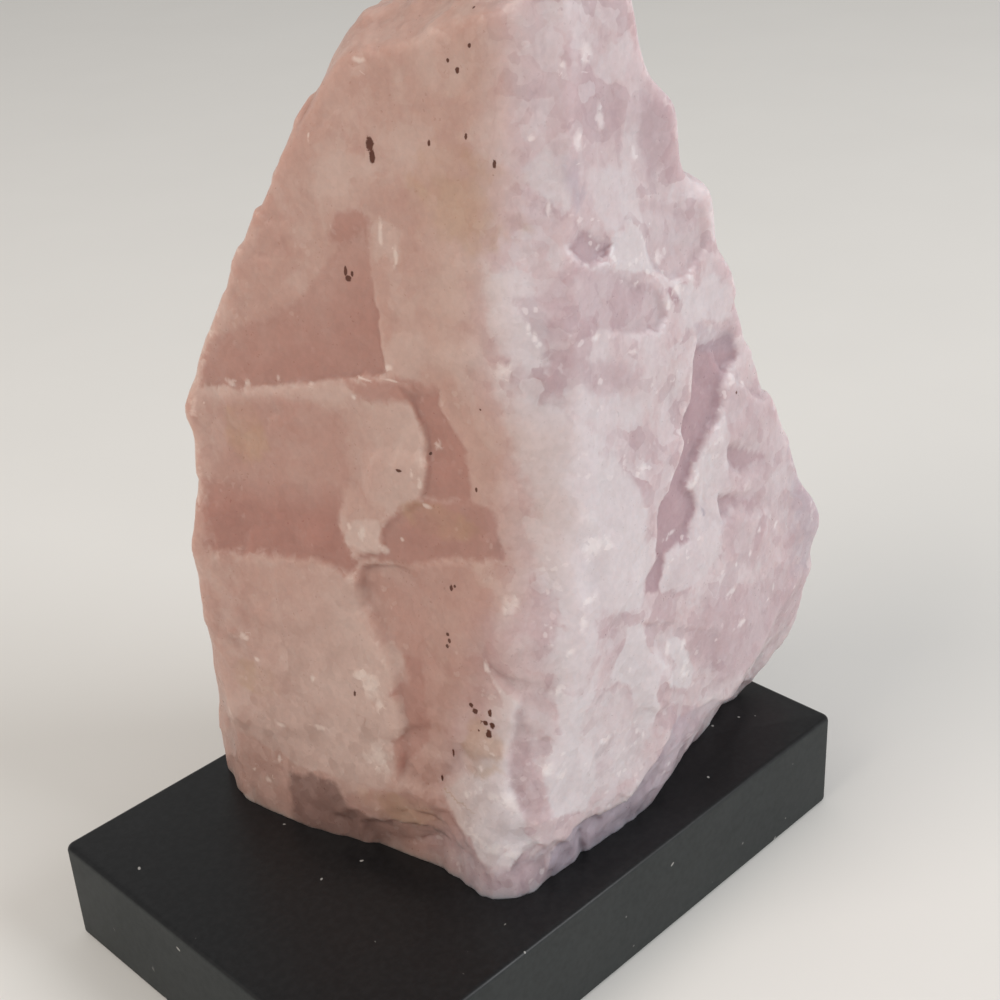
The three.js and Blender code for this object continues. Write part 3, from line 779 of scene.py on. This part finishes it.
class Nodes:
    """A small helper for wiring a material."""

    def __init__(self, name):
        self.material = bpy.data.materials.new(name)
        self.material.use_nodes = True
        self.tree = self.material.node_tree
        self.tree.nodes.clear()
        output = self.add("ShaderNodeOutputMaterial")
        self.shader = self.add("ShaderNodeBsdfPrincipled")
        self.tree.links.new(self.shader.outputs[0], output.inputs["Surface"])
        self.place = self.add("ShaderNodeTexCoord").outputs["Object"]

    def add(self, kind, **settings):
        node = self.tree.nodes.new(kind)
        for key, value in settings.items():
            setattr(node, key, value)
        return node

    def feed(self, socket, value):
        if isinstance(value, bpy.types.NodeSocket):
            self.tree.links.new(value, socket)
        elif isinstance(value, tuple) and socket.type == "RGBA":
            socket.default_value = (*value, 1)
        else:
            socket.default_value = value

    def set(self, name, value):
        self.feed(self.shader.inputs[name], value)

    def field(self, name, output="Fac"):
        return self.add("ShaderNodeAttribute", attribute_name=name).outputs[output]

    def noise(self, size, detail=4, roughness=0.55, distortion=0.0, place=None, output="Fac"):
        node = self.add("ShaderNodeTexNoise")
        node.inputs["Scale"].default_value = 1 / (size * MM)
        node.inputs["Detail"].default_value = detail
        node.inputs["Roughness"].default_value = roughness
        node.inputs["Distortion"].default_value = distortion
        self.feed(node.inputs["Vector"], place or self.place)
        return node.outputs[output]

    def cells(self, size, place=None, smoothness=0.0):
        node = self.add("ShaderNodeTexVoronoi")
        if smoothness:
            node.feature = "SMOOTH_F1"
            node.inputs["Smoothness"].default_value = smoothness
        node.inputs["Scale"].default_value = 1 / (size * MM)
        self.feed(node.inputs["Vector"], place or self.place)
        return node.outputs["Distance"], node.outputs["Color"]

    def math(self, operation, a, b=0.0, clamp=False):
        node = self.add("ShaderNodeMath", operation=operation, use_clamp=clamp)
        self.feed(node.inputs[0], a)
        self.feed(node.inputs[1], b)
        return node.outputs[0]

    def vector(self, operation, a, b=None, scale=None, output=0):
        node = self.add("ShaderNodeVectorMath", operation=operation)
        self.feed(node.inputs[0], a)
        if b is not None:
            self.feed(node.inputs[1], b)
        if scale is not None:
            self.feed(node.inputs["Scale"], scale)
        return node.outputs[output]

    def ramp(self, value, low, high, out_low=0.0, out_high=1.0):
        node = self.add("ShaderNodeMapRange", interpolation_type="SMOOTHSTEP")
        self.feed(node.inputs["Value"], value)
        node.inputs["From Min"].default_value = low
        node.inputs["From Max"].default_value = high
        node.inputs["To Min"].default_value = out_low
        node.inputs["To Max"].default_value = out_high
        return node.outputs[0]

    def mix(self, share, a, b):
        node = self.add("ShaderNodeMix", data_type="RGBA")
        self.feed(node.inputs[0], share)
        self.feed(node.inputs[6], a)
        self.feed(node.inputs[7], b)
        return node.outputs[2]

    def bump(self, height, distance, strength=1.0, normal=None):
        node = self.add("ShaderNodeBump")
        node.inputs["Distance"].default_value = distance * MM
        node.inputs["Strength"].default_value = strength
        self.feed(node.inputs["Height"], height)
        if normal is not None:
            self.feed(node.inputs["Normal"], normal)
        return node.outputs[0]

    def wander(self, size, swing, place=None):
        """The place moved about by up to half of swing, in millimetres."""
        colour = self.noise(size, detail=2, output="Color")
        off = self.vector("SUBTRACT", colour, (0.5, 0.5, 0.5))
        return self.vector("ADD", place or self.place, self.vector("SCALE", off, scale=2 * swing * MM))

    def facet(self, size, tilt):
        """A tilt for the surface that differs from grain to grain."""
        _, colour = self.cells(size, self.wander(size, 0.5 * size))
        return self.vector("SCALE", self.vector("SUBTRACT", colour, (0.5, 0.5, 0.5)), scale=tilt)


# Colours of the quartz, as linear light.
PEACH = (0.50, 0.312, 0.262)
LILAC = (0.60, 0.475, 0.492)
DEEP_PEACH = (0.405, 0.20, 0.162)
DEEP_LILAC = (0.44, 0.30, 0.33)
MILK_PEACH = (0.575, 0.42, 0.37)
MILK_LILAC = (0.655, 0.585, 0.605)
# Painted shade, darkening the quartz under the ledges of the foot and by the slab.
SHADE_PEACH = (0.22, 0.125, 0.105)
SHADE_LILAC = (0.40, 0.335, 0.39)
BRUISE_PEACH = (0.76, 0.64, 0.58)
BRUISE_LILAC = (0.84, 0.77, 0.77)
RUST = (0.46, 0.285, 0.17)
SPECK = (0.1, 0.018, 0.004)
# Colours of the slab and the floor.
BLACK = (0.006, 0.0064, 0.0072)
LIGHTER_BLACK = (0.010, 0.0104, 0.0114)
# Grey of the slab's sides: a honed finish, and partly a painted reflection of the pale floor.
HONED_AND_REFLECTION_GREY = (0.036, 0.04, 0.04)
DUST = (0.45, 0.44, 0.42)
FLOOR = (0.75, 0.735, 0.71)
LIGHTER_FLOOR = (0.78, 0.765, 0.74)

# Sizes of the quartz's texture, in millimetres.
CLOUD = 30
BLOOM = 9
LARGE_SHARD = 9
SMALL_SHARD = 3.6
STREAK = 3
FRAY = 2.5
FLAKE = 1.6
GRAIN = 1.4
GLINT = 1.2

FOOT_SHADE_HEIGHT = 7
FOOT_SHADE = 0.15
QUARTZ_IOR = 1.544
SCATTER = (1.0, 0.78, 0.72)
SCATTER_SCALE = 6
PATCH_EDGE = 0.45
# The grain of the break, as tilted facets: size, tilt.
FACETS = ((5.5, 0.16), (2.2, 0.2))


def patch_share(n, name, ragged):
    """How far a point is inside a patch, with a ragged edge."""
    depth = n.math("ADD", n.field(name), ragged)
    return n.math("MULTIPLY", n.ramp(depth, -PATCH_EDGE, PATCH_EDGE), n.field(name + "_strength"))


def spot_share(n, name, size, swing, angular=0.0, edge=(1.15, 0.75)):
    """One inside the spots of a kind, with a ragged edge."""
    shake = n.vector("SUBTRACT", n.noise(size, detail=3, output="Color"), (0.5, 0.5, 0.5))
    shift = n.vector("SCALE", shake, scale=swing)
    if angular:
        _, colour = n.cells(size, n.wander(size, 0.4 * size))
        corner = n.vector("SUBTRACT", colour, (0.5, 0.5, 0.5))
        shift = n.vector("ADD", shift, n.vector("SCALE", corner, scale=angular))
    share = 0.0
    for layer in range(SPOT_LAYERS[name]):
        way = n.vector("ADD", n.field(f"{name} {layer}", "Vector"), shift)
        inside = n.ramp(n.vector("LENGTH", way, output="Value"), *edge)
        share = n.math("MAXIMUM", inside, share)
    return share


def shard_tones(n, size, place):
    """Two random numbers for each of the shards that the stone is broken into."""
    _, colour = n.cells(size, place, smoothness=0.15)
    parts = n.add("ShaderNodeSeparateColor")
    n.feed(parts.inputs[0], colour)
    return parts.outputs[0], parts.outputs[1]


def flake_share(n, size, share, place):
    """Scattered light flakes: the middles of some of the grains of the given size."""
    apart, colour = n.cells(size, place)
    pick = n.add("ShaderNodeSeparateColor")
    n.feed(pick.inputs[0], colour)
    chosen = n.ramp(pick.outputs[0], 1 - share, 1.02 - share)
    return n.math("MULTIPLY", chosen, n.ramp(apart, 0.5, 0.3))


def clouded(n, colour, milk, deep, bloom):
    """Wide clouds of milkier and of clearer stone."""
    cloud = n.noise(CLOUD, detail=3, roughness=0.5, distortion=0.8)
    colour = n.mix(n.ramp(cloud, 0.48, 0.68, 0, 0.6), colour, milk)
    colour = n.mix(n.ramp(cloud, 0.46, 0.3, 0, 0.4), colour, deep)
    return n.mix(n.ramp(bloom, 0.5, 0.68, 0, 0.4), colour, milk)


def sharded(n, colour, milk, deep, strength, small_shard, small_depth):
    """Upright streaks and broken shards of milkier and of clearer stone."""
    upright = n.vector("MULTIPLY", n.wander(6, 3), (1, 1, 0.35))
    streaks = n.noise(STREAK, detail=3, roughness=0.6, place=upright)
    large_shard, large_depth = shard_tones(n, LARGE_SHARD, n.wander(2.4, 1.2, n.wander(8, 5)))
    shares = (
        (n.ramp(streaks, 0.5, 0.68), milk),
        (n.ramp(streaks, 0.46, 0.3), deep),
        (n.ramp(large_shard, 0.6, 0.95), milk),
        (n.ramp(large_depth, 0.65, 0.95), deep),
        (n.ramp(small_depth, 0.7, 0.9), milk),
        (n.ramp(small_shard, 0.25, 0.05), deep),
    )
    for share, tone in shares:
        colour = n.mix(n.math("MULTIPLY", share, strength), colour, tone)
    return colour


def whitened_share(n, foot, strength):
    """Whitened places: crushed edges, scattered flakes and the larger flecks."""
    edge = n.ramp(n.field("edge"), 0.14, 0.5)
    crushed = n.math("MULTIPLY", edge, n.ramp(n.noise(3.2, detail=3), 0.54, 0.66, 0, 0.4))
    crushed = n.math("MULTIPLY", crushed, foot)
    crowd = n.math("MULTIPLY", n.ramp(n.noise(14, detail=2), 0.5, 0.62), strength)
    flakes = n.math("MULTIPLY", flake_share(n, FLAKE, 0.16, n.wander(2.2, 1.1)), crowd)
    flecks = n.math("MULTIPLY", spot_share(n, "flecks", 1.8, 1, 0.9, (1.45, 0.3)), 0.6)
    return n.math("MAXIMUM", n.math("MAXIMUM", crushed, flakes), flecks)


def quartz_colour(n):
    """The quartz's colour, and how far each place is whitened."""
    warm = n.field("warm")
    strength = n.math("ADD", n.math("MULTIPLY", n.math("SUBTRACT", 1.0, warm), 0.3), 0.12)
    height = n.add("ShaderNodeSeparateXYZ")
    n.feed(height.inputs[0], n.place)
    foot = n.ramp(height.outputs["Z"], SLAB_TOP * MM, (SLAB_TOP + FOOT_SHADE_HEIGHT) * MM)
    bloom = n.noise(BLOOM, detail=2.5, roughness=0.5, distortion=0.5)
    small_shard, small_depth = shard_tones(n, SMALL_SHARD, n.wander(3.5, 1.8))
    ragged = n.math("MULTIPLY", n.math("SUBTRACT", small_shard, 0.5), 0.55)
    fray = n.math("MULTIPLY", n.math("SUBTRACT", n.noise(FRAY, detail=3), 0.5), 1.2)
    ragged = n.math("ADD", ragged, fray)

    milk = n.mix(warm, MILK_LILAC, MILK_PEACH)
    deep = n.mix(warm, DEEP_LILAC, DEEP_PEACH)
    painted_shade = n.mix(warm, SHADE_LILAC, SHADE_PEACH)
    colour = clouded(n, n.mix(warm, LILAC, PEACH), milk, deep, bloom)
    colour = sharded(n, colour, milk, deep, strength, small_shard, small_depth)
    # The milky and rosy patches are the stone's own colour; the third kind is painted shade.
    for name, tone in (("milk", milk), ("rose", deep), ("painted_shade", painted_shade)):
        colour = n.mix(patch_share(n, name, ragged), colour, tone)
    stains = n.math("MULTIPLY", spot_share(n, "stains", 6, 1.2), n.ramp(bloom, 0.35, 0.6, 0.1, 0.4))
    colour = n.mix(stains, colour, RUST)

    whitened = whitened_share(n, foot, strength)
    colour = n.mix(whitened, colour, n.mix(warm, BRUISE_LILAC, BRUISE_PEACH))
    grain = n.ramp(n.noise(GRAIN, detail=2), 0.3, 0.7, 0.97, 1.03)
    shade = n.math("ADD", n.math("MULTIPLY", foot, FOOT_SHADE), 1 - FOOT_SHADE)
    colour = n.vector("SCALE", colour, scale=n.math("MULTIPLY", grain, shade))
    colour = n.mix(spot_share(n, "specks", 0.7, 1.1), colour, SPECK)
    return colour, whitened


def quartz_material():
    n = Nodes("rose quartz")
    colour, whitened = quartz_colour(n)
    n.set("Base Color", colour)
    glint, _ = n.cells(GLINT, n.wander(1.5, 1.0))
    rough = n.ramp(n.noise(3, detail=3), 0.3, 0.7, 0.38, 0.55)
    rough = n.math("SUBTRACT", rough, n.ramp(glint, 0.3, 0.15, 0, 0.15))
    n.set("Roughness", n.math("ADD", rough, n.math("MULTIPLY", whitened, 0.1), clamp=True))
    n.set("IOR", QUARTZ_IOR)
    n.set("Subsurface Weight", 0.9)
    n.set("Subsurface Radius", SCATTER)
    n.set("Subsurface Scale", SCATTER_SCALE * MM)

    normal = n.add("ShaderNodeNewGeometry").outputs["Normal"]
    for size, tilt in FACETS:
        normal = n.vector("ADD", normal, n.facet(size, tilt))
    normal = n.vector("NORMALIZE", normal)
    n.set("Normal", n.bump(n.noise(0.8, detail=3, roughness=0.6), 0.08, 0.5, normal))
    return n.material


def black_stone_material():
    n = Nodes("polished black stone")
    mottle = n.noise(1.6, detail=5, roughness=0.6)
    colour = n.mix(n.ramp(mottle, 0.35, 0.7), BLACK, LIGHTER_BLACK)
    # The sides are only honed, so they are rougher than the top; their greyer colour is partly that
    # finish and partly a painted reflection of the pale floor.
    upward = n.add("ShaderNodeSeparateXYZ")
    n.feed(upward.inputs[0], n.add("ShaderNodeNewGeometry").outputs["Normal"])
    facing_side = n.ramp(upward.outputs["Z"], 0.75, 0.3)
    honed_and_reflection = n.math("MULTIPLY", facing_side, n.ramp(mottle, 0.2, 0.8, 0.7, 1))
    colour = n.mix(honed_and_reflection, colour, HONED_AND_REFLECTION_GREY)
    dust, _ = n.cells(7, n.wander(9, 5))
    dust = n.math("MULTIPLY", n.ramp(dust, 0.075, 0.045), n.ramp(n.noise(22, detail=1), 0.5, 0.56))
    n.set("Base Color", n.mix(n.math("MULTIPLY", dust, 0.7), colour, DUST))
    smears = n.noise(34, detail=4, roughness=0.6, distortion=0.6)
    polish = n.ramp(smears, 0.3, 0.75, 0.3, 0.42)
    n.set("Roughness", n.math("ADD", polish, n.math("MULTIPLY", facing_side, 0.28), clamp=True))
    n.set("IOR", 1.5)
    n.set("Specular IOR Level", 0.25)
    n.set("Normal", n.bump(n.noise(0.7, detail=3), 0.02, 0.35))
    return n.material


def floor_material():
    n = Nodes("pale floor")
    n.set("Base Color", n.mix(n.noise(80, detail=3), FLOOR, LIGHTER_FLOOR))
    n.set("Roughness", 0.9)
    return n.material


# ------------------------------------------------------------
# The scene, in metres
# ------------------------------------------------------------

FLOOR_SIZE = 8

# Soft lights: name, place, size, power, colour.
LIGHTS = (
    ("window left", (-1.1, 0.2, 1.1), 0.9, 10, (1.0, 0.92, 0.83)),
    ("window right", (0.7, -1.3, 1.1), 1.0, 17, (0.96, 0.98, 1.0)),
)
LIGHTS_AIM = (0, 0, 0.1)
ROOM_LIGHT = (0.96, 0.95, 0.93, 1)
ROOM_STRENGTH = 0.5

# The camera stands about 0.4 m from the slab's middle and looks down at the lump.
CAMERA_FROM = (-0.20342, -0.22899, 0.26175)
CAMERA_HEADING = -43.952
CAMERA_PITCH = 28.091
CAMERA_ROLL = 3.177
CAMERA_LENS = 58.62
CAMERA_SENSOR = 36
CAMERA_NEAR = 0.01


def place_piece(obj, node, material):
    obj.data.materials.append(material)
    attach(obj, "root")
    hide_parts(node)
    return obj


def add_floor():
    bpy.ops.mesh.primitive_plane_add(size=FLOOR_SIZE)
    floor = bpy.context.object
    floor.name = "floor"
    floor.data.materials.append(floor_material())


def add_light(name, place, size, power, colour):
    """A round soft light that looks at the lump."""
    light = bpy.data.lights.new(name, "AREA")
    light.shape = "DISK"
    light.size = size
    light.energy = power
    light.color = colour
    obj = bpy.data.objects.new(name, light)
    bpy.context.scene.collection.objects.link(obj)
    obj.location = place
    obj.rotation_euler = (Vector(place) - Vector(LIGHTS_AIM)).to_track_quat("Z", "Y").to_euler()


def add_room():
    """Even light from all sides."""
    world = bpy.data.worlds.new("studio")
    world.use_nodes = True
    background = world.node_tree.nodes["Background"]
    background.inputs["Color"].default_value = ROOM_LIGHT
    background.inputs["Strength"].default_value = ROOM_STRENGTH
    bpy.context.scene.world = world
    bpy.context.scene.view_settings.view_transform = "Standard"


def add_camera():
    heading = Matrix.Rotation(math.radians(CAMERA_HEADING), 4, "Z")
    pitch = Matrix.Rotation(math.radians(90 - CAMERA_PITCH), 4, "X")
    roll = Matrix.Rotation(-math.radians(CAMERA_ROLL), 4, "Z")
    camera = bpy.data.objects.new("camera", bpy.data.cameras.new("camera"))
    camera.data.lens = CAMERA_LENS
    camera.data.sensor_width = CAMERA_SENSOR
    camera.data.clip_start = CAMERA_NEAR
    camera.matrix_world = Matrix.Translation(CAMERA_FROM) @ heading @ pitch @ roll
    bpy.context.scene.collection.objects.link(camera)
    bpy.context.scene.camera = camera


place_piece(make_lump(), "rose_quartz", quartz_material())
place_piece(make_slab(), "slab", black_stone_material())
add_floor()
for settings in LIGHTS:
    add_light(*settings)
add_room()
add_camera()
